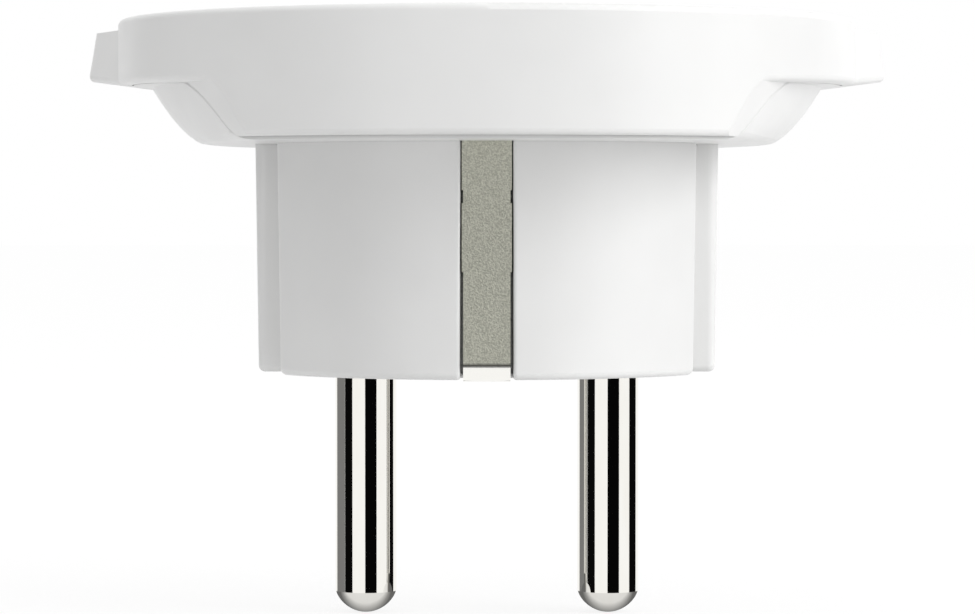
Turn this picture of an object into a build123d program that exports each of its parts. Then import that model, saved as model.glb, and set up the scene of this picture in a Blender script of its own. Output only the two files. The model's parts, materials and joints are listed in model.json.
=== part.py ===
"""Travel adapter: a three-hole socket face on a drum, over a round two-pin plug with earth clips.

The origin is the centre of the plug's face. +Z points up to the socket's face, X runs through the
two round pins, and -Y is the front. All sizes are millimetres.
"""
from build123d import *
from math import cos, radians, sin, tan
import os

# Plug pins
pin_spacing = 19.0
pin_radius = 2.4
pin_length = 19.0
pin_tip_height = 1.7
pin_tip_shoulder = (0.56, 0.235)
pin_neck_radius = 2.75
pin_fit = 0.05
pin_flange_radius = 3.3
pin_flange_height = 1.2
pin_tail_radius = 1.5
pin_head_radius = 2.3
pin_head_height = 0.9
pin_head_bevel = 0.5

# Plug body, a round boss that widens a little towards its root; the draft is in degrees
plug_height = 17.7
plug_radius = 18.0
plug_draft = 0.8
plug_floor = 2.0
plug_edge_round = 0.5
plug_bore_radius = 16.5
plug_bore_flat = 14.4
pad_radius = 2.0
thin_wall = 0.5
guide_flat = 15.7
guide_rib_half_width = 3.0
guide_rib_reach = 17.75
guide_round = 0.6
guide_root_round = 0.3

# Drum, its wall and its face
drum_radius = 28.75
drum_height = 9.6
shell_wall = 1.05
face_thickness = 2.4
drum_top_round = 0.5
rim_round = 0.45
rim_step = 0.25
seam_gap = 0.12
cover_thickness = 1.5

# Ears, the two finger grips: wings that stand out from the drum's wall, a little behind X.
# Angles are degrees, ear_middle from X to the middle of the ear and the others from there. The
# flanks run on into the drum, to ear_flank_share times their length outside it.
ear_overhang = 3.35
ear_middle = 18.0
ear_half_nose = 9.8
ear_half_root = 23.6
ear_corner_round = 2.7
ear_flank_share = 1.4
ear_top_step = 0.7
ear_thickness = 3.8
ear_taper = 9.5
ear_skirt = 1.5

# Finger scoops under the ears: how far inside the drum's wall they reach at four shares of the
# height from the drum's foot to the ear, in the middle plane, and how much deeper they are at
# scoop_span to either side. The underside of the ear rises outwards by scoop_slope degrees.
scoop_shares = (-0.1, 0.3, 0.73, 1.0)
scoop_depth = (7.35, 4.85, 3.4, 2.65)
scoop_fall = (3.4, 4.7, 5.45, 5.7)
scoop_span = 20.0
scoop_end_inset = 4.75
scoop_slope = 7.5
scoop_round = 1.2

# Socket face, for flat pins
flat_pin_half_spacing = 11.1
flat_pin_row = -8.7
earth_row_distance = 22.2
flat_pin_width = 6.35
flat_pin_thickness = 4.0
earth_pin_width = 8.0
hole_clearance = 0.4
collar_wall = 1.0
collar_depth = 4.7

# Metal strips
strip = 0.7
leaf_gap = 3.8
leaf_width = 4.4
leaf_offset = 0.5
leaf_top_gap = 1.2
leaf_flare = 0.55
leaf_flare_height = 1.7
leaf_bend = 0.9
earth_leaf_width = 5.5
earth_leaf_top_gap = 4.6
foot_width = 4.2
foot_radius = 3.1
foot_edge = 1.9
bridge_thickness = 0.8
bridge_width = 5.0
bridge_end = 1.2
bridge_ring = 2.0
clip_thickness = 0.5
clip_width = 3.7
clip_neck_width = 3.5
clip_neck_top = 8.0
clip_notch_bottom = 13.1
clip_notch_top = 14.05
clip_inset = 0.05
clip_tuck = 0.28
clip_corner = 0.35
clip_proud = 0.15
clip_tab_inset = 3.75
clip_bend = 0.85
clip_side_gap = 0.075
clip_gap = 0.05
clip_slot_round = 0.3
spring_strip = 0.4
spring_strip_height = 4.0
spring_strip_drop = 7.0
earth_spring_drop = 6.6

# Earth pin hole in the plug's face
earth_hole_row = -10.0
earth_hole_radius = 2.5
sleeve_wall = 0.6
sleeve_top_gap = 4.2
sleeve_flange = 1.5
sleeve_bottom = 1.0
sleeve_fit = 0.05
sleeve_room = 0.15
sleeve_slot = 0.6
sleeve_slot_rise = 2.0

# Rivet
rivet_radius = 1.0
rivet_head_radius = 1.8
rivet_head_height = 0.7
rivet_row = 8.6
rivet_gap = 0.1
rivet_room = 2.5

# Inner carrier
carrier_clearance = 0.25
carrier_bottom = 5.0
carrier_thickness = 1.6
carrier_wall = 0.8
carrier_top_gap = 0.1
pin_head_room = 0.2
earth_contact_room = 1.0
chamber_clearance = 0.25
carrier_post_x = 6.5
carrier_post_y = 6.0
carrier_post_radius = 1.6

# Shutter, its frame and its spring
shutter_travel = 5.6
shutter_thickness = 1.6
shutter_clearance = 0.1
shutter_margin = 0.85
shutter_half_width = 15.1
stem_half_width = 3.6
wedge_half_width = 3.0
wedge_rise = 5.8
wedge_room = 0.4
wedge_edge = 0.8
wedge_tip = 1.6
wedge_land = 2.0
wedge_root = 3.0
wedge_slot_margin = 4.2
frame_thickness = 1.6
frame_half_width = 16.4
frame_front = -18.4
frame_back = 8.5
rail_height = 1.5
stop_depth = 1.2
stop_gap = 0.6
stop_width = 3.0
open_stop_width = 2.0
spring_radius = 1.1
spring_wire = 0.2
spring_turns = 6
spring_length = 9.5
spring_seat_height = 2.6
spring_seat_half_width = 2.6
spring_seat_depth = 2.4
spring_wall = 1.5
spring_wall_half_width = 3.4
spring_peg_radius = 0.75
spring_peg_length = 1.4

# Screws
screw_radius = 1.2
screw_head_radius = 2.2
screw_head_height = 1.3
screw_head_round = 0.5
screw_slot_length = 2.4
screw_slot_width = 0.5
screw_slot_depth = 0.7
screw_length = 6.0
screw_sink = 0.3
screw_gap = 0.2
screw_tip_room = 0.8
boss_radius = 2.5
boss_depth = 4.2
tower_wall = 0.9
housing_screw_inset = 4.5
housing_screw_angle = 53.0

# Snap hooks at the front, on the cover, and the ledges on the shell's wall that they grip
hook_x = 6.5
hook_inset = 2.4
hook_width = 5.0
hook_thickness = 1.0
hook_root = 0.5
hook_nose_edge = 0.3
hook_reach = 0.7
hook_nose_height = 1.0
hook_gap = 0.15
ledge_rise = 1.3
ledge_height = 1.0
frame_screw_x = 12.0
frame_screw_y = 4.0
frame_screw_length = 4.6

# How far a cut starts outside the body that it cuts
cut_over = 1.0

# Heights and places that follow
beyond = 2 * drum_radius
drum_top = plug_height + drum_height
face_inside = drum_top - face_thickness
cover_inside = plug_height + cover_thickness
leaf_top = cover_inside - leaf_top_gap
earth_leaf_top = cover_inside - earth_leaf_top_gap
spring_strip_level = leaf_top - spring_strip_drop
earth_spring_level = earth_leaf_top - earth_spring_drop
sleeve_top = cover_inside - sleeve_top_gap
inner_radius = drum_radius - shell_wall
shell_bottom = plug_height + rim_step
ear_top = drum_top - ear_top_step
ear_bottom = ear_top - ear_thickness
ear_reach = drum_radius + ear_overhang
scoop_length = drum_radius - scoop_end_inset
scoop_top = ear_bottom - (ear_reach - drum_radius + scoop_depth[-1]) * tan(radians(scoop_slope))
clip_face = plug_radius - clip_inset
clip_tab_row = clip_face - clip_tab_inset
clip_slot_width = clip_width + 2 * clip_side_gap
hook_row = inner_radius - hook_inset
ledge_bottom = cover_inside + ledge_rise
earth_row = flat_pin_row + earth_row_distance
wedge_back = earth_row - earth_pin_width / 2
collar_bottom = drum_top - collar_depth
frame_top = cover_inside + frame_thickness
shutter_bottom = frame_top + shutter_clearance
shutter_top = shutter_bottom + shutter_thickness
flange_top = plug_floor + pin_flange_height
foot_top = flange_top + strip
bridge_top = plug_floor + bridge_thickness
pin_x = pin_spacing / 2
leaf_x = flat_pin_half_spacing - leaf_offset
hole_width = flat_pin_width + 2 * hole_clearance
hole_height = flat_pin_thickness + 2 * hole_clearance
earth_hole_width = earth_pin_width + 2 * hole_clearance
shutter_front = flat_pin_row - hole_height / 2 - shutter_margin
shutter_back = flat_pin_row + hole_height / 2 + shutter_margin
spring_z = shutter_bottom + spring_radius + spring_wire
spring_wall_y = shutter_front - spring_length


def block(x0, x1, y0, y1, z0, z1):
    """A block between two corners."""
    middle = Pos((x0 + x1) / 2, (y0 + y1) / 2, (z0 + z1) / 2)
    return middle * Box(x1 - x0, y1 - y0, z1 - z0)


def rod(x, y, radius, z0, z1):
    """An upright cylinder."""
    return Pos(x, y, (z0 + z1) / 2) * Cylinder(radius, z1 - z0)


def bent_strip(points, bend, thickness, width):
    """A strip folded along points in the XY plane, and as wide as width along Z."""
    path = FilletPolyline(*points, radius=bend)
    return extrude(trace(path, thickness), width / 2, both=True)


def at(radius, angle):
    """Point of the left half's plan, angle degrees behind the X axis."""
    return (-radius * cos(radians(angle)), radius * sin(radians(angle)))


def flank_end(corner, root):
    """End inside the drum of an ear's flank, which starts at its nose at the angle corner."""
    start = Vector(*at(ear_reach, corner))
    end = start + (Vector(*at(drum_radius, root)) - start) * ear_flank_share
    return (end.X, end.Y)


def ear_outline():
    """Plan of one ear's underside: two straight flanks and a nose round the drum's centre."""
    front = ear_middle - ear_half_nose
    back = ear_middle + ear_half_nose
    outline = ThreePointArc(at(ear_reach, front), at(ear_reach, ear_middle), at(ear_reach, back))
    outline += Polyline(at(ear_reach, back), flank_end(back, ear_middle + ear_half_root), (0, 0),
                        flank_end(front, ear_middle - ear_half_root), at(ear_reach, front))
    plan = make_face(outline)
    corners = [v for v in plan.vertices() if Vector(v.X, v.Y).length > drum_radius]
    return fillet(corners, ear_corner_round)


def ear_prism(inset, top):
    """The ears' tapered blocks. They start below their underside, which the scoops then cut."""
    grown = ear_skirt * tan(radians(ear_taper))
    plan = offset(ear_outline(), amount=grown - inset, kind=Kind.INTERSECTION)
    prism = extrude(Pos(0, 0, ear_bottom - ear_skirt) * plan, top - ear_bottom + ear_skirt,
                    taper=ear_taper)
    return prism + mirror(prism, Plane.YZ)


def scoop_section(y):
    """Outline of the space under one ear, in the upright plane at y."""
    share = (y / scoop_span) ** 2
    rise = scoop_top - plug_height
    wall = [(drum_radius - d - f * share, plug_height + rise * h)
            for d, f, h in zip(scoop_depth, scoop_fall, scoop_shares)]
    inner, top = wall[-1]
    outside = ear_reach + ear_thickness
    lines = Spline(*wall)
    lines += Polyline(wall[-1], (outside, top + (outside - inner) * tan(radians(scoop_slope))),
                      (outside, wall[0][1]), wall[0])
    return Pos(0, y, 0) * (Plane.XZ * make_face(lines))


def scoop_space(inward=0.0, upward=0.0):
    """The space under both ears, moved in and up to give the inside of the cover."""
    steps = [-scoop_length, -scoop_length / 2, 0, scoop_length / 2, scoop_length]
    space = loft([scoop_section(y) for y in steps])
    space = Pos(-inward, 0, upward) * space
    return space + mirror(space, Plane.YZ)


def lower_rim(shape, radius):
    """Edges beyond a radius where a moulding's wall turns into its underside."""
    return [e for e in shape.edges() if e.bounding_box().max.Z < ear_top - rim_round
            and Vector(e.position_at(0.5).X, e.position_at(0.5).Y).length > radius]


def flat_pin_places():
    """Centres of the line and neutral holes."""
    return [(side * flat_pin_half_spacing, flat_pin_row) for side in (-1, 1)]


def housing_screw_places():
    """Centres of the screws in the cover."""
    x, y = at(inner_radius - housing_screw_inset, housing_screw_angle)
    return [(x, y), (-x, y)]


def make_outer_shell():
    """Face plate, drum wall and ears in one moulding, with collars and bosses inside."""
    drum = rod(0, 0, drum_radius, shell_bottom, drum_top)
    drum = fillet(drum.edges().group_by(Axis.Z)[-1], drum_top_round) - scoop_space()
    ears = ear_prism(0, ear_top) - scoop_space()
    shell = fillet(lower_rim(drum, drum_radius - rim_step), rim_round)
    shell += fillet(lower_rim(ears, drum_radius), rim_round)
    shell -= rod(0, 0, inner_radius, plug_height - cut_over, face_inside)
    shell -= ear_prism(shell_wall, face_inside)
    for x, y in flat_pin_places():
        collar = block(x - hole_width / 2 - collar_wall, x + hole_width / 2 + collar_wall,
                       y - hole_height / 2 - collar_wall, y + hole_height / 2 + collar_wall,
                       collar_bottom, face_inside)
        shell += collar
        shell -= block(x - hole_width / 2, x + hole_width / 2,
                       y - hole_height / 2, y + hole_height / 2,
                       collar_bottom - cut_over, drum_top + cut_over)
    shell += block(-hole_height / 2 - collar_wall, hole_height / 2 + collar_wall,
                   earth_row - earth_hole_width / 2 - collar_wall,
                   earth_row + earth_hole_width / 2 + collar_wall, collar_bottom, face_inside)
    shell -= block(-hole_height / 2, hole_height / 2, earth_row - earth_hole_width / 2,
                   earth_row + earth_hole_width / 2, collar_bottom - cut_over,
                   drum_top + cut_over)
    for x, y in housing_screw_places():
        shell += rod(x, y, boss_radius, face_inside - boss_depth, face_inside)
        shell -= rod(x, y, screw_radius, face_inside - boss_depth, face_inside + screw_tip_room)
    for side in (-1, 1):
        shell += rod(side * frame_screw_x, frame_screw_y, boss_radius, frame_top, face_inside)
        shell -= rod(side * frame_screw_x, frame_screw_y, screw_radius, frame_top, face_inside)
        ledge = block(side * hook_x - hook_width / 2, side * hook_x + hook_width / 2,
                      -drum_radius, -hook_row - hook_gap, ledge_bottom,
                      ledge_bottom + ledge_height)
        shell += ledge & rod(0, 0, inner_radius + shell_wall / 2, plug_height, drum_top)
    return shell


def plug_outline():
    """Plan of the plug body: a round cut flat at both ends of X, with a guide rib on each flat."""
    plan = Circle(plug_radius) & Rectangle(2 * guide_flat, 3 * plug_radius)
    plan += Rectangle(2 * guide_rib_reach, 2 * guide_rib_half_width)
    roots = [v for v in plan.vertices() if Vector(v.X, v.Y).length < guide_rib_reach]
    plan = fillet(roots, guide_root_round)
    corners = [v for v in plan.vertices() if Vector(v.X, v.Y).length > guide_rib_reach]
    return fillet(corners, guide_round)


def clip_slot(side):
    """The groove in the plug body for one earth clip, up its side and over its face."""
    half = clip_slot_width / 2
    inner = clip_face - clip_thickness - clip_gap
    tab_inner = clip_tab_row - clip_thickness / 2 - clip_gap
    tab_outer = clip_tab_row + clip_thickness / 2 + clip_gap
    depth = clip_thickness - clip_proud + clip_gap
    slot = block(-half, half, inner, beyond, -depth, plug_height)
    slot += block(-half, half, inner, clip_face + clip_gap, -depth,
                  plug_height + clip_tuck + clip_gap)
    slot += block(-half, half, tab_inner, beyond, -depth, depth)
    slot += block(-half, half, tab_inner, tab_outer, -depth, plug_floor)
    land = block(-half, half, tab_outer, inner, depth, plug_floor)
    corners = land.edges().filter_by(Axis.X).group_by(Axis.Z)[0]
    slot += land - fillet(corners, clip_bend - clip_thickness / 2 - clip_gap)
    return slot if side > 0 else mirror(slot, Plane.XZ)


def snap_hook(x):
    """Tongue on the cover whose nose grips the shell's ledge."""
    nose_bottom = ledge_bottom + ledge_height + hook_gap
    outline = Polyline(
        (-hook_row + hook_thickness, cover_inside - hook_root),
        (-hook_row + hook_thickness, nose_bottom + hook_nose_height),
        (-hook_row, nose_bottom + hook_nose_height),
        (-hook_row - hook_reach, nose_bottom + hook_nose_edge),
        (-hook_row - hook_reach, nose_bottom),
        (-hook_row, nose_bottom),
        (-hook_row, cover_inside - hook_root),
        close=True,
    )
    tongue = extrude(make_face(outline), hook_width / 2 - hook_gap, both=True)
    return Pos(x, 0, 0) * (Plane.YZ * tongue)


def make_plug_housing():
    """Lower cover with the finger scoops and the hollow plug body, one moulding."""
    body = extrude(plug_outline(), plug_height, taper=-plug_draft)
    rim = body.faces().sort_by(Axis.Z)[0].outer_wire().edges()
    body = fillet(rim, plug_edge_round)
    for side in (-1, 1):
        body -= clip_slot(side)
    mouth = [e for e in body.edges()
             if e.bounding_box().size.Z > plug_height / 2 and abs(e.center().Y) > clip_face]
    body = fillet(mouth, clip_slot_round)
    cover_radius = inner_radius - seam_gap
    whole = rod(0, 0, cover_radius, plug_height, cover_inside + ear_bottom - plug_height)
    whole += ear_prism(shell_wall + seam_gap, cover_thickness + ear_bottom)
    whole -= scoop_space()
    scoop_edges = [e for e in whole.edges().group_by(Axis.Z)[0] if e.geom_type != GeomType.CIRCLE]
    whole = fillet(scoop_edges, scoop_round)
    low = whole & block(-beyond, beyond, -beyond, beyond, plug_height, cover_inside)
    raised = whole & scoop_space(cover_thickness, cover_thickness)
    housing = body + low + raised
    bore = Circle(plug_bore_radius) & Rectangle(2 * plug_bore_flat, beyond)
    housing -= Pos(0, 0, plug_floor) * extrude(bore, cover_inside)
    chamber = leaf_gap / 2 + strip + spring_strip + chamber_clearance
    for x, y in flat_pin_places():
        pocket = block(x - hole_width / 2, x + hole_width / 2, y - chamber, y + chamber,
                       plug_floor, cover_inside)
        housing -= pocket & rod(0, 0, plug_radius - thin_wall, 0, drum_top)
        pad_x = leaf_x if x > 0 else -leaf_x
        housing += rod(pad_x, y, pad_radius, plug_floor, flange_top)
    for side in (-1, 1):
        housing -= rod(side * pin_x, 0, pin_neck_radius + pin_fit, -cut_over, plug_floor)
        housing -= clip_slot(side)
    housing -= block(-chamber, chamber, 0, clip_face - clip_thickness - thin_wall,
                     plug_floor, cover_inside)
    housing -= rod(0, earth_hole_row, earth_hole_radius, -cut_over, plug_floor)
    housing -= rod(0, earth_hole_row, earth_hole_radius + sleeve_wall + sleeve_fit,
                   sleeve_bottom, plug_floor)
    housing -= rod(0, rivet_row, rivet_head_radius + rivet_gap,
                   plug_floor - rivet_head_height - rivet_gap, plug_floor)
    head_seat = plug_height + screw_sink + screw_head_height
    for side in (-1, 1):
        housing += snap_hook(side * hook_x)
    for x, y in housing_screw_places():
        housing += rod(x, y, boss_radius + tower_wall, plug_height, face_inside - boss_depth)
        housing -= rod(x, y, screw_head_radius + screw_gap, plug_height - cut_over, head_seat)
        housing -= rod(x, y, screw_radius + screw_gap, plug_height, face_inside)
    return housing


def make_pin(side):
    """Solid round pin: domed tip, flange on the plug's floor, tail riveted over the contact."""
    outward, upward = pin_tip_shoulder
    outline = ThreePointArc(
        (0, -pin_length),
        (pin_radius * outward, -pin_length + pin_tip_height * upward),
        (pin_radius, -pin_length + pin_tip_height),
    )
    outline += Polyline(
        (pin_radius, -pin_length + pin_tip_height),
        (pin_radius, 0),
        (pin_neck_radius, 0),
        (pin_neck_radius, plug_floor),
        (pin_flange_radius, plug_floor),
        (pin_flange_radius, flange_top),
        (pin_tail_radius, flange_top),
        (pin_tail_radius, foot_top),
        (pin_head_radius, foot_top),
        (pin_head_radius - pin_head_bevel, foot_top + pin_head_height),
        (0, foot_top + pin_head_height),
        (0, -pin_length),
    )
    return Pos(side * pin_x, 0, 0) * revolve(Plane.XZ * make_face(outline), Axis.Z)


def leaf_pair(top, width):
    """Two leaves on a common base, in the XY plane with Y up, symmetrical about X = 0."""
    half = leaf_gap / 2 + strip / 2
    base = strip / 2
    right = [(half + leaf_flare, top), (half, top - leaf_flare_height), (half, base)]
    left = [(-x, y) for x, y in reversed(right)]
    return bent_strip(right + left, leaf_bend, strip, width)


def make_flat_pin_contact(side):
    """Line or neutral contact: leaves for the flat pin and a foot under the plug pin's head."""
    leaves = Plane.YZ * leaf_pair(leaf_top - flange_top, leaf_width)
    contact = Pos(side * leaf_x, flat_pin_row, flange_top) * leaves
    foot = block(-foot_width / 2, foot_width / 2, flat_pin_row + leaf_gap / 2, 0,
                 flange_top, foot_top)
    foot += rod(0, 0, foot_radius, flange_top, foot_top)
    foot -= rod(0, 0, pin_tail_radius, flange_top, foot_top)
    return contact + Pos(side * pin_x, 0, 0) * foot


def leaf_clip(width):
    """Steel clip round a leaf pair, in plan: a back and two legs that press the leaves."""
    inner = leaf_gap / 2 + strip
    outer = inner + spring_strip
    clip = Rectangle(width + spring_strip, 2 * outer)
    clip -= Pos(spring_strip, 0) * Rectangle(width + spring_strip, 2 * inner)
    return extrude(clip, spring_strip_height)


def make_flat_pin_spring(side):
    """Steel clip round the leaves of the line or neutral contact."""
    clip = leaf_clip(leaf_width)
    clip = Pos(-spring_strip / 2 + leaf_x, flat_pin_row, spring_strip_level) * clip
    return clip if side > 0 else mirror(clip, Plane.YZ)


def make_earth_contact():
    """Leaves for the flat earth pin, standing on the bridge."""
    leaves = Plane.XZ * leaf_pair(earth_leaf_top - bridge_top, earth_leaf_width)
    contact = Pos(0, earth_row, bridge_top) * leaves
    contact += block(-leaf_gap / 2, leaf_gap / 2, rivet_row - foot_edge, earth_row,
                     bridge_top, bridge_top + strip)
    return contact - rod(0, rivet_row, rivet_radius, 0, bridge_top + strip)


def make_earth_spring():
    """Steel clip round the leaves of the earth contact."""
    clip = Rot(0, 0, 90) * leaf_clip(earth_leaf_width)
    return Pos(0, earth_row - spring_strip / 2, earth_spring_level) * clip


def make_earth_bridge():
    """Strip on the plug's floor from clip to clip, with a ring for the earth pin sleeve."""
    end = clip_tab_row + bridge_end
    bridge = block(-bridge_width / 2, bridge_width / 2, -end, end, plug_floor, bridge_top)
    bridge += rod(0, earth_hole_row, earth_hole_radius + bridge_ring, plug_floor, bridge_top)
    bridge -= rod(0, earth_hole_row, earth_hole_radius + sleeve_wall, plug_floor, bridge_top)
    bridge -= rod(0, rivet_row, rivet_radius, plug_floor, bridge_top)
    for side in (-1, 1):
        y = side * clip_tab_row
        bridge -= block(-clip_neck_width / 2, clip_neck_width / 2, y - clip_thickness / 2,
                        y + clip_thickness / 2, plug_floor, bridge_top)
    return bridge


def make_earth_rivet():
    """Rivet through the earth contact and the bridge."""
    top = bridge_top + strip
    rivet = rod(0, rivet_row, rivet_radius, plug_floor, top)
    rivet += rod(0, rivet_row, rivet_head_radius, top, top + rivet_head_height)
    rivet += rod(0, rivet_row, rivet_head_radius, plug_floor - rivet_head_height, plug_floor)
    return rivet


def make_earth_pin_sleeve():
    """Tube contact behind the hole in the plug's face, with a flange on the bridge."""
    outer = earth_hole_radius + sleeve_wall
    tube = rod(0, earth_hole_row, outer, sleeve_bottom, sleeve_top)
    tube += rod(0, earth_hole_row, earth_hole_radius + sleeve_flange, bridge_top,
                bridge_top + sleeve_wall)
    tube -= rod(0, earth_hole_row, earth_hole_radius, 0, sleeve_top + cut_over)
    tube -= block(-sleeve_slot / 2, sleeve_slot / 2, earth_hole_row - 2 * outer, earth_hole_row,
                  bridge_top + sleeve_slot_rise, sleeve_top + cut_over)
    return tube


def make_earth_clip(side):
    """Bent strip: tucked into the cover, down the plug's side, over its face, into the bridge."""
    outside = clip_face - clip_thickness / 2
    low = -clip_proud + clip_thickness / 2
    top = plug_height + clip_tuck
    points = [(outside, top), (outside, low), (clip_tab_row, low), (clip_tab_row, bridge_top)]
    clip = Plane.YZ * bent_strip(points, clip_bend, clip_thickness, clip_width)
    ends = [e for e in clip.edges().filter_by(Axis.Y) if e.center().Z > top - clip_gap]
    clip = fillet(ends, clip_corner)
    neck = clip_neck_width / 2
    for x0, x1 in ((-clip_width, -neck), (neck, clip_width)):
        clip -= block(x0, x1, 0, plug_radius, -cut_over, clip_neck_top)
        clip -= block(x0, x1, 0, plug_radius, clip_notch_bottom, clip_notch_top)
    return clip if side > 0 else mirror(clip, Plane.XZ)


def make_contact_carrier():
    """Insulating plate over the feet of the contacts, with two chambers and two posts."""
    top = carrier_bottom + carrier_thickness
    reach = plug_bore_radius - carrier_clearance
    flat = plug_bore_flat - carrier_clearance
    plan = Circle(reach) & Rectangle(2 * flat, beyond)
    hollow = leaf_gap / 2 + strip + spring_strip + chamber_clearance
    inner_x = flat_pin_half_spacing - hole_width / 2
    walls = block(inner_x - carrier_wall, beyond, flat_pin_row - hollow - carrier_wall,
                  flat_pin_row + hollow + carrier_wall, top, cover_inside - carrier_top_gap)
    carrier = extrude(Pos(0, 0, carrier_bottom) * plan, carrier_thickness)
    chamber_zone = extrude(Pos(0, 0, top) * plan, cover_inside - top)
    for side in (-1, 1):
        wall = walls if side > 0 else mirror(walls, Plane.YZ)
        carrier += wall & chamber_zone
        hole = block(inner_x, beyond, flat_pin_row - hollow, flat_pin_row + hollow,
                     carrier_bottom - cut_over, cover_inside + cut_over)
        carrier -= hole if side > 0 else mirror(hole, Plane.YZ)
        ring = rod(side * pin_x, 0, foot_radius, foot_top, carrier_bottom)
        carrier += ring - rod(side * pin_x, 0, pin_head_radius + pin_head_room, foot_top,
                              carrier_bottom)
        carrier += rod(side * carrier_post_x, carrier_post_y, carrier_post_radius, top, cover_inside)
    carrier -= rod(0, earth_hole_row, earth_hole_radius + sleeve_wall + sleeve_room, 0, drum_top)
    room = leaf_gap / 2 + strip + earth_contact_room
    carrier -= block(-room, room, rivet_row - rivet_room, beyond,
                     carrier_bottom - cut_over, top + cut_over)
    return carrier


def make_shutter_frame():
    """Plate on which the shutter slides, with its rails, stops and the wall behind the spring."""
    frame = block(-frame_half_width, frame_half_width, frame_front, frame_back,
                  cover_inside, frame_top)
    half = spring_wall_half_width
    frame += block(-half, half, spring_wall_y - spring_wall, frame_front, cover_inside, frame_top)
    frame += block(-half, half, spring_wall_y - spring_wall, spring_wall_y, frame_top,
                   spring_z + spring_radius + spring_wire)
    for x, y in flat_pin_places():
        frame -= block(x - hole_width / 2, x + hole_width / 2, y - hole_height / 2,
                       y + hole_height / 2, cover_inside, frame_top)
    slot_half = wedge_half_width + wedge_room
    frame -= block(-slot_half, slot_half, wedge_back - shutter_travel - wedge_slot_margin,
                   frame_back + cut_over, cover_inside, frame_top)
    for side in (-1, 1):
        inner = shutter_half_width + shutter_clearance
        near = min(side * inner, side * frame_half_width)
        far = max(side * inner, side * frame_half_width)
        frame += block(near, far, frame_front, shutter_back + stop_depth, frame_top,
                       frame_top + rail_height)
        stop_near = stem_half_width + stop_gap
        stop = block(stop_near, stop_near + stop_width, shutter_back,
                     shutter_back + stop_depth, frame_top, frame_top + rail_height)
        open_stop = shutter_front - shutter_travel - shutter_clearance
        stop += block(shutter_half_width - open_stop_width, inner + shutter_clearance,
                      frame_front, open_stop, frame_top, frame_top + rail_height)
        frame += stop if side > 0 else mirror(stop, Plane.YZ)
        frame -= rod(side * frame_screw_x, frame_screw_y, screw_radius + screw_gap,
                     cover_inside, frame_top)
    return frame


def make_shutter():
    """Slide that closes the line and neutral holes, with the ramp for the earth pin."""
    shutter = block(-shutter_half_width, shutter_half_width, shutter_front, shutter_back,
                    shutter_bottom, shutter_top)
    shutter += block(-stem_half_width, stem_half_width, shutter_back, wedge_back - wedge_land,
                     shutter_bottom, shutter_top)
    tip = wedge_back + shutter_travel
    ramp = Polyline(
        (wedge_back - wedge_root, shutter_top),
        (wedge_back, shutter_top),
        (tip, shutter_top - wedge_rise),
        (tip, shutter_top - wedge_rise - wedge_edge),
        (tip - wedge_tip, shutter_top - wedge_rise - wedge_edge),
        (wedge_back - wedge_land, shutter_bottom),
        (wedge_back - wedge_root, shutter_bottom),
        close=True,
    )
    shutter += Plane.YZ * extrude(make_face(ramp), wedge_half_width, both=True)
    shutter += block(-spring_seat_half_width, spring_seat_half_width, shutter_front,
                     shutter_front + spring_seat_depth, shutter_top,
                     shutter_bottom + spring_seat_height)
    peg = Pos(0, shutter_front - spring_peg_length / 2, spring_z) * (
        Rot(90, 0, 0) * Cylinder(spring_peg_radius, spring_peg_length))
    return shutter + peg


def make_shutter_spring():
    """Coil spring between the shutter and the frame's end wall."""
    height = spring_length - 2 * spring_wire
    coil = Helix(height / spring_turns, height, spring_radius)
    start = Plane(origin=coil @ 0, z_dir=coil % 0)
    wire = sweep(start * Circle(spring_wire), coil)
    return Pos(0, shutter_front - spring_wire, spring_z) * (Rot(90, 0, 0) * wire)


def screw(x, y, head_bottom, length):
    """Pan head screw that points up, the outside of its head at head_bottom."""
    body = rod(x, y, screw_radius, head_bottom + screw_head_height,
               head_bottom + screw_head_height + length)
    head = rod(x, y, screw_head_radius, head_bottom, head_bottom + screw_head_height)
    head = fillet(head.edges().group_by(Axis.Z)[0], screw_head_round)
    long = screw_slot_length / 2
    narrow = screw_slot_width / 2
    level = head_bottom + screw_slot_depth
    head -= block(x - long, x + long, y - narrow, y + narrow, head_bottom - cut_over, level)
    head -= block(x - narrow, x + narrow, y - long, y + long, head_bottom - cut_over, level)
    return body + head


def make_housing_screws():
    """Two screws that hold the lower cover to the shell at the back."""
    level = plug_height + screw_sink
    return Compound([screw(x, y, level, screw_length) for x, y in housing_screw_places()])


def make_frame_screws():
    """Two screws that hold the shutter frame to the shell."""
    level = cover_inside - screw_head_height
    return Compound([screw(side * frame_screw_x, frame_screw_y, level, frame_screw_length)
                     for side in (-1, 1)])


def main():
    """Write one file for each piece."""
    os.makedirs("parts", exist_ok=True)
    pieces = {
        "outer_shell": make_outer_shell(),
        "plug_housing": make_plug_housing(),
        "line_pin": make_pin(1),
        "neutral_pin": make_pin(-1),
        "line_contact": make_flat_pin_contact(1),
        "neutral_contact": make_flat_pin_contact(-1),
        "line_contact_spring": make_flat_pin_spring(1),
        "neutral_contact_spring": make_flat_pin_spring(-1),
        "earth_contact": make_earth_contact(),
        "earth_contact_spring": make_earth_spring(),
        "earth_bridge": make_earth_bridge(),
        "earth_rivet": make_earth_rivet(),
        "earth_pin_sleeve": make_earth_pin_sleeve(),
        "front_earth_clip": make_earth_clip(-1),
        "rear_earth_clip": make_earth_clip(1),
        "contact_carrier": make_contact_carrier(),
        "shutter_frame": make_shutter_frame(),
        "shutter": make_shutter(),
        "shutter_spring": make_shutter_spring(),
        "frame_screws": make_frame_screws(),
        "housing_screws": make_housing_screws(),
    }
    for name, piece in pieces.items():
        export_step(piece, f"parts/{name}.step")


main()
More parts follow.
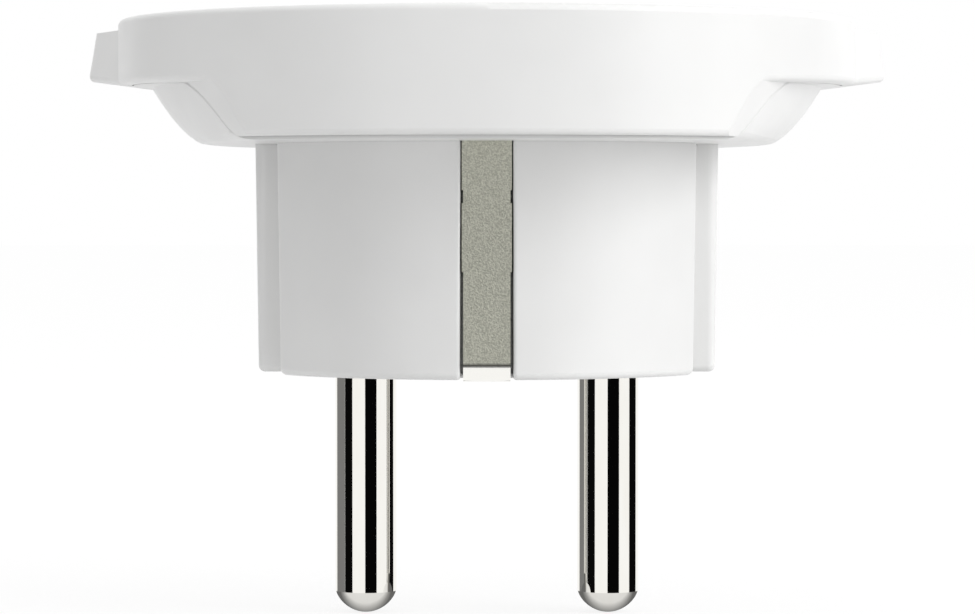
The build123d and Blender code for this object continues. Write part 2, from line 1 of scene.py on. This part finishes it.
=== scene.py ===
"""Travel adapter, dressed and lit: white moulded plastic, polished pins and grain-blasted clips."""
import bpy
import json
from math import atan, cos, pi, radians, sin
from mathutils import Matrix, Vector


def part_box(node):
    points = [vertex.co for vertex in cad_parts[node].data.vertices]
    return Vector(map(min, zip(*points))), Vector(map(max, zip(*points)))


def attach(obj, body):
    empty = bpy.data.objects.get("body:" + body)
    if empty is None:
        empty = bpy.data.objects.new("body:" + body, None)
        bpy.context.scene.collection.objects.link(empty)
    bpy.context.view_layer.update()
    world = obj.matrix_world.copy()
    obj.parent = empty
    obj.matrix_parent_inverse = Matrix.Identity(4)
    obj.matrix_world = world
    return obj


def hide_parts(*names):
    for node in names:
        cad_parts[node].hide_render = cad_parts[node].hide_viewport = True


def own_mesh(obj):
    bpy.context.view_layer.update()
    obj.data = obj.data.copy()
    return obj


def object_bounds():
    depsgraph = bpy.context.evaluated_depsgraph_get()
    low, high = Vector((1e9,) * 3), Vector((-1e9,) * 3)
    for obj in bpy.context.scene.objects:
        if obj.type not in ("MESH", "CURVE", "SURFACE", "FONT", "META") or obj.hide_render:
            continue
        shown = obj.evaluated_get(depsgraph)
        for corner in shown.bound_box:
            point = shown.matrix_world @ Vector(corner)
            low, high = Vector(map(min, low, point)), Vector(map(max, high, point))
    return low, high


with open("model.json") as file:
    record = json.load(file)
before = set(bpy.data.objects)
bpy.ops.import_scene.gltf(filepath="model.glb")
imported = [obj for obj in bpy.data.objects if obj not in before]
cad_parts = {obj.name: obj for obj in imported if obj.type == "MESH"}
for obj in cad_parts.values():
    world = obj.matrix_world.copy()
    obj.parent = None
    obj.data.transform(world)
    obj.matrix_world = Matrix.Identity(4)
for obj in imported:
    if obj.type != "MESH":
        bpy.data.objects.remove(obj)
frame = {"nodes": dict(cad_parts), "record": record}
cad_low, cad_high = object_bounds()
nodes = frame["nodes"]

mm_per_m = 1000.0

# The photograph's frame in pixels, and the camera that was solved from it, in metres. The scale is
# that of the two pins, which stand 19 mm apart.
image_width = 975
image_height = 614
focal_length_px = 3837
horizon_y = 208.4
object_centre_x = 486.85
camera_distance = 0.301
camera_height = 0.0127
camera_near = 0.01
camera_far = 50.0
pin_spacing = 0.019
pin_spacing_px = 242.2
metres_per_px = pin_spacing / pin_spacing_px

# The floor lies under the tips of the pins. Its whitening is the share of plain white that the
# camera sees in it.
floor_level = cad_low.z
floor_size = 6.0
floor_grey = 0.72
floor_whitening = 0.85

# Soft light from the world, as radiance, at the horizon and overhead
light_at_horizon = 0.47
light_overhead = 1.18

# The key lamp, in metres and watts
key_place = Vector((0.78, -0.34, 0.33))
key_size = 0.6
key_power = 4.3

# The upright cards that the polished pins mirror: where each starts and ends, in degrees round from
# the camera to the right, and its grey
cards = {
    "card_right_front": (-2, 42, 0.002),
    "card_right_back": (87, 129, 0.003),
    "card_left_front": (-84, -51, 0.003),
    "card_left_back": (-137, -84.5, 0.2),
}
card_low = -0.12
card_high = 0.5
card_distance = 0.7
card_steps = 24

# The pins' domed tips mirror the floor in their own shadow: the radius of a disc, how far it lies
# over the floor, and its grey at shares of the way from its front to its back
tip_shade_radius = 0.008
tip_shade_lift = 0.00002
tip_shade_corners = 48
tip_shade_greys = ((0.0, 0.9), (0.38, 0.76), (0.42, 0.5), (0.46, 0.3), (0.53, 0.14), (1.0, 0.14))

# Painted shade in the seams, from an ambient occlusion term: how far a seam's walls may stand
# apart, and how open a place is where the plastic is fully shaded or left unshaded
seam_reach = 0.0005
seam_closed = 0.32
seam_open = 0.52
seam_samples = 8
seam_shade_colour = (0.015, 0.015, 0.014, 1)

plastic_ior = 1.47

# The clips are blasted, except for the bend round the plug's face. It is polished up to bend_top
# over the face, within bend_blur, and a painted dark reflection over it fades out between two
# heights.
clip_grain_mm = 0.14
clip_relief_mm = 0.035
clip_rough = 0.46
bend_rough = 0.12
bend_colour = (0.93, 0.92, 0.88, 1)
bend_top = 0.001
bend_blur = 0.00005
bend_reflection_colour = (0.10, 0.10, 0.09, 1)
bend_reflection_low = bend_top + 0.0001
bend_reflection_high = bend_top + 0.0003


def grey(level):
    """An opaque grey."""
    return (level, level, level, 1)


def make_camera():
    """Camera at the photograph's place, turned down so that the horizon falls on its row."""
    data = bpy.data.cameras.new("camera")
    camera = bpy.data.objects.new("camera", data)
    bpy.context.scene.collection.objects.link(camera)
    data.lens = focal_length_px / image_width * data.sensor_width
    data.clip_start = camera_near
    data.clip_end = camera_far
    side = (image_width / 2 - object_centre_x) * metres_per_px
    camera.location = (side, -camera_distance, camera_height)
    down = atan((image_height / 2 - horizon_y) / focal_length_px)
    camera.rotation_euler = (pi / 2 - down, 0, 0)
    bpy.context.scene.camera = camera


class Nodes:
    """Short forms for building one node tree."""

    def __init__(self, tree):
        self.tree = tree
        self.tree.nodes.clear()

    def add(self, kind, inputs=None, **settings):
        """A node with its settings, and its inputs as values or as another node's output."""
        node = self.tree.nodes.new(kind)
        for name, value in settings.items():
            setattr(node, name, value)
        for name, value in (inputs or {}).items():
            if isinstance(value, bpy.types.NodeSocket):
                self.tree.links.new(value, node.inputs[name])
            else:
                node.inputs[name].default_value = value
        return node

    def position(self, scale):
        """The point in the object's own space, in metres, times scale."""
        place = self.add("ShaderNodeTexCoord").outputs["Object"]
        node = self.add("ShaderNodeVectorMath", {0: place, "Scale": scale}, operation="SCALE")
        return node.outputs[0]

    def part_of(self, vector, axis):
        """A vector's share along one axis."""
        return self.add("ShaderNodeSeparateXYZ", {0: vector}).outputs[axis]

    def noise(self, size_mm, detail=2.0, roughness=0.5, stretch=(1, 1, 1)):
        """Noise whose grain is about size_mm, stretched along the axes."""
        place = self.position(mm_per_m / size_mm)
        node = self.add("ShaderNodeVectorMath", {0: place, 1: stretch}, operation="MULTIPLY")
        return self.add("ShaderNodeTexNoise", {"Vector": node.outputs[0], "Scale": 1.0,
                        "Detail": detail, "Roughness": roughness}).outputs["Fac"]

    def between(self, value, low, high, start=0.3, end=0.7):
        """value from start to end, mapped to low to high."""
        return self.add("ShaderNodeMapRange", {"Value": value, "From Min": start, "From Max": end,
                        "To Min": low, "To Max": high}).outputs["Result"]

    def mix(self, factor, first, second):
        """Two colours, or outputs, mixed by factor. The sockets are those of the RGBA form."""
        node = self.add("ShaderNodeMix", {0: factor, 6: first, 7: second}, data_type="RGBA")
        return node.outputs[2]

    def most(self, first, second):
        """The larger of two outputs."""
        node = self.add("ShaderNodeMath", {0: first, 1: second}, operation="MAXIMUM")
        return node.outputs[0]

    def mix_shader(self, factor, first, second):
        """Two shader nodes mixed by factor."""
        return self.add("ShaderNodeMixShader",
                        {0: factor, 1: first.outputs[0], 2: second.outputs[0]})

    def bump(self, height, distance_mm, strength=1.0):
        """Surface relief of distance_mm from a height."""
        return self.add("ShaderNodeBump", {"Height": height, "Strength": strength,
                        "Distance": distance_mm / mm_per_m}).outputs["Normal"]


def new_material(name):
    """A material and its empty tree."""
    made = bpy.data.materials.new(name)
    made.use_nodes = True
    return made, Nodes(made.node_tree)


def finish_material(name):
    """A material, its tree, and the Principled shader that it shows."""
    made, tree = new_material(name)
    shader = tree.add("ShaderNodeBsdfPrincipled")
    tree.add("ShaderNodeOutputMaterial", {"Surface": shader.outputs[0]})
    return made, tree, shader


def connect(tree, shader, **sockets):
    """Links outputs to the shader's sockets, with underscores for spaces in their names."""
    for name, output in sockets.items():
        tree.tree.links.new(output, shader.inputs[name.replace("_", " ")])


def moulded_plastic(name, colour, shade, rough, grain_mm, relief_mm):
    """Injection-moulded plastic: faint tone drift, satin patches, moulded grain and painted shade
    in the seams.
    """
    made, tree, shader = finish_material(name)
    drift = tree.between(tree.noise(size_mm=9.0, detail=2.0), 0.0, 1.0)
    satin = tree.noise(size_mm=2.4, detail=4.0, roughness=0.6)
    grain = tree.noise(grain_mm, detail=3.0, roughness=0.6)
    # Painted shade: the plastic is darkened where ambient occlusion finds the walls of a seam close
    # together.
    openness = tree.add("ShaderNodeAmbientOcclusion", {"Distance": seam_reach},
                        samples=seam_samples)
    unshaded = tree.between(openness.outputs["AO"], 0.0, 1.0, seam_closed, seam_open)
    connect(tree, shader,
            Base_Color=tree.mix(unshaded, seam_shade_colour, tree.mix(drift, colour, shade)),
            Roughness=tree.between(satin, *rough),
            Normal=tree.bump(grain, relief_mm))
    shader.inputs["IOR"].default_value = plastic_ior
    return made


def plated_metal(name, colour, shade, rough, grain_mm, relief_mm, stretch=(1, 1, 1)):
    """Plated or bare metal with a fine grain, and patches of wear in its gloss."""
    made, tree, shader = finish_material(name)
    coarse = tree.noise(grain_mm * 3, detail=3.0, roughness=0.6, stretch=stretch)
    tone = tree.between(coarse, 0.0, 1.0)
    wear = tree.noise(size_mm=1.7, detail=4.0, roughness=0.65)
    grain = tree.noise(grain_mm, detail=3.0, roughness=0.6, stretch=stretch)
    connect(tree, shader,
            Base_Color=tree.mix(tone, colour, shade),
            Roughness=tree.between(wear, *rough),
            Normal=tree.bump(grain, relief_mm))
    shader.inputs["Metallic"].default_value = 1.0
    return made


def blasted_clip(name, colour, shade):
    """Grain-blasted plating, with the polished bend and a painted dark reflection over it near the
    face.
    """
    made, tree, shader = finish_material(name)
    grain = tree.noise(clip_grain_mm, detail=2.0, roughness=0.7)
    tone = tree.between(grain, 0.0, 1.0, start=0.38, end=0.62)
    height = tree.part_of(tree.position(1.0), "Z")
    blasted = tree.between(height, 0.0, 1.0, bend_top - bend_blur, bend_top + bend_blur)
    # Painted reflection: a dark band just over the polished bend, fading out upwards.
    over_reflection = tree.between(height, 0.0, 1.0, bend_reflection_low, bend_reflection_high)
    dull = tree.mix(over_reflection, bend_reflection_colour, tree.mix(tone, colour, shade))
    connect(tree, shader,
            Base_Color=tree.mix(blasted, bend_colour, dull),
            Roughness=tree.between(blasted, bend_rough, clip_rough, 0.0, 1.0),
            Normal=tree.bump(grain, clip_relief_mm, blasted))
    shader.inputs["Metallic"].default_value = 1.0
    return made


def dress():
    """Gives each CAD node its material."""
    finishes = {
        "white_plastic": moulded_plastic(
            "white_plastic", colour=(0.83, 0.83, 0.825, 1), shade=(0.80, 0.80, 0.795, 1),
            rough=(0.30, 0.42), grain_mm=0.25, relief_mm=0.002),
        "inner_plastic": moulded_plastic(
            "inner_plastic", colour=(0.47, 0.47, 0.45, 1), shade=(0.42, 0.42, 0.40, 1),
            rough=(0.45, 0.6), grain_mm=0.2, relief_mm=0.004),
        "shutter_plastic": moulded_plastic(
            "shutter_plastic", colour=(0.70, 0.70, 0.69, 1), shade=(0.66, 0.66, 0.65, 1),
            rough=(0.4, 0.5), grain_mm=0.2, relief_mm=0.003),
        "nickel_pin": plated_metal(
            "nickel_pin", colour=(0.93, 0.92, 0.88, 1), shade=(0.90, 0.88, 0.83, 1),
            rough=(0.015, 0.035), grain_mm=0.3, relief_mm=0.0003, stretch=(1, 1, 0.15)),
        "blasted_nickel": blasted_clip(
            "blasted_nickel", colour=(0.66, 0.66, 0.57, 1), shade=(0.46, 0.46, 0.39, 1)),
        "contact_brass": plated_metal(
            "contact_brass", colour=(0.72, 0.52, 0.22, 1), shade=(0.62, 0.43, 0.17, 1),
            rough=(0.2, 0.35), grain_mm=0.3, relief_mm=0.002, stretch=(1, 1, 0.3)),
        "spring_steel": plated_metal(
            "spring_steel", colour=(0.55, 0.55, 0.56, 1), shade=(0.45, 0.45, 0.46, 1),
            rough=(0.2, 0.35), grain_mm=0.2, relief_mm=0.002),
        "screw_steel": plated_metal(
            "screw_steel", colour=(0.60, 0.59, 0.56, 1), shade=(0.5, 0.49, 0.46, 1),
            rough=(0.25, 0.4), grain_mm=0.2, relief_mm=0.002),
    }
    for row in frame["record"]["subparts"]:
        node = nodes[row["node"]]
        node.data.materials.clear()
        node.data.materials.append(finishes[row["material_slot"]])


def make_spring():
    """The shutter's coil spring as a piece of its own, attached to the adapter body."""
    coil = bpy.data.objects.new("shutter_coil", nodes["shutter_spring"].data.copy())
    bpy.context.scene.collection.objects.link(coil)
    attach(coil, "adapter_body")
    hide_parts("shutter_spring")
    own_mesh(coil)


def make_world():
    """Soft light, stronger from above, and plain white for what the camera and mirrors see."""
    world = bpy.data.worlds.new("studio")
    bpy.context.scene.world = world
    world.use_nodes = True
    tree = Nodes(world.node_tree)
    direction = tree.add("ShaderNodeTexCoord").outputs["Generated"]
    height = tree.part_of(direction, "Z")
    strength = tree.between(height, light_at_horizon, light_overhead, 0.0, 1.0)
    ambient = tree.add("ShaderNodeBackground", {"Color": grey(1.0), "Strength": strength})
    white = tree.add("ShaderNodeBackground", {"Color": grey(1.0), "Strength": 1.0})
    path = tree.add("ShaderNodeLightPath").outputs
    seen = tree.most(path["Is Camera Ray"], path["Is Glossy Ray"])
    seen = tree.most(seen, path["Is Transmission Ray"])
    shader = tree.mix_shader(seen, ambient, white)
    tree.add("ShaderNodeOutputWorld", {"Surface": shader.outputs[0]})


def mesh_object(name, verts, faces, made):
    """A new mesh in the scene, of one material."""
    mesh = bpy.data.meshes.new(name)
    mesh.from_pydata(verts, [], faces)
    mesh.materials.append(made)
    shown = bpy.data.objects.new(name, mesh)
    bpy.context.scene.collection.objects.link(shown)
    return shown


def make_floor():
    """Pale floor that shows white to the camera, keeps a faint shadow and is clear from below."""
    made, tree = new_material("floor")
    camera = tree.add("ShaderNodeLightPath").outputs["Is Camera Ray"]
    matt = tree.add("ShaderNodeBsdfDiffuse",
                    {"Color": tree.mix(camera, grey(floor_grey), grey(1.0))})
    glow = tree.add("ShaderNodeEmission", {"Color": grey(1.0), "Strength": 1.0})
    whitened = tree.add("ShaderNodeMath", {0: camera, 1: floor_whitening}, operation="MULTIPLY")
    top = tree.mix_shader(whitened.outputs[0], matt, glow)
    clear = tree.add("ShaderNodeBsdfTransparent")
    back = tree.add("ShaderNodeNewGeometry").outputs["Backfacing"]
    surface = tree.mix_shader(back, top, clear)
    tree.add("ShaderNodeOutputMaterial", {"Surface": surface.outputs[0]})
    half = floor_size / 2
    corners = [(-half, -half, 0), (half, -half, 0), (half, half, 0), (-half, half, 0)]
    floor = mesh_object("floor", corners, [(0, 1, 2, 3)], made)
    floor.location.z = floor_level
    floor.visible_glossy = False


def make_key_lamp():
    """A soft square lamp, turned to the centre of the plug's face and left out of mirrors."""
    data = bpy.data.lights.new("key", "AREA")
    data.shape = "SQUARE"
    data.size = key_size
    data.energy = key_power
    lamp = bpy.data.objects.new("key", data)
    bpy.context.scene.collection.objects.link(lamp)
    lamp.location = key_place
    lamp.rotation_mode = "QUATERNION"
    lamp.rotation_quaternion = (-key_place).to_track_quat("-Z", "Y")
    lamp.visible_glossy = False


def for_mirrors_only(shown):
    """Hides an object from all but glossy rays."""
    shown.visible_camera = False
    shown.visible_diffuse = False
    shown.visible_shadow = False
    shown.visible_transmission = False


def make_card(name, start_deg, end_deg, level):
    """A curved upright card that only mirrors see."""
    points = []
    for i in range(card_steps + 1):
        turn = radians(start_deg + (end_deg - start_deg) * i / card_steps)
        points.append((card_distance * sin(turn), -card_distance * cos(turn)))
    verts = [(x, y, z) for z in (card_low, card_high) for x, y in points]
    row = len(points)
    faces = [(i, i + 1, i + row + 1, i + row) for i in range(card_steps)]
    made, tree = new_material(name)
    glow = tree.add("ShaderNodeEmission", {"Color": grey(level), "Strength": 1.0})
    tree.add("ShaderNodeOutputMaterial", {"Surface": glow.outputs[0]})
    card = mesh_object(name, verts, faces, made)
    for_mirrors_only(card)


def make_tip_shade(name, x):
    """A shaded disc round the tip of a pin, which only mirrors see."""
    made, tree = new_material(name)
    back = tree.part_of(tree.position(1.0 / tip_shade_radius), "Y")
    ramp = tree.add("ShaderNodeValToRGB", {"Fac": tree.between(back, 0.0, 1.0, -1.0, 1.0)})
    stops = ramp.color_ramp.elements
    while len(stops) < len(tip_shade_greys):
        stops.new(1.0)
    for stop, (place, level) in zip(stops, tip_shade_greys):
        stop.position = place
        stop.color = grey(level)
    glow = tree.add("ShaderNodeEmission", {"Color": ramp.outputs["Color"], "Strength": 1.0})
    tree.add("ShaderNodeOutputMaterial", {"Surface": glow.outputs[0]})
    turns = [2 * pi * i / tip_shade_corners for i in range(tip_shade_corners)]
    verts = [(tip_shade_radius * cos(turn), tip_shade_radius * sin(turn), 0) for turn in turns]
    disc = mesh_object(name, verts, [tuple(range(tip_shade_corners))], made)
    disc.location = (x, 0, floor_level + tip_shade_lift)
    for_mirrors_only(disc)


def make_studio():
    """The lamp, and the cards and discs that the polished pins mirror."""
    make_key_lamp()
    for name, (start_deg, end_deg, level) in cards.items():
        make_card(name, start_deg, end_deg, level)
    for node in ("line_pin", "neutral_pin"):
        pin_low, pin_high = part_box(node)
        make_tip_shade(node + "_shade", (pin_low.x + pin_high.x) / 2)


make_camera()
dress()
make_spring()
make_world()
make_floor()
make_studio()

bpy.context.scene.view_settings.view_transform = "Standard"
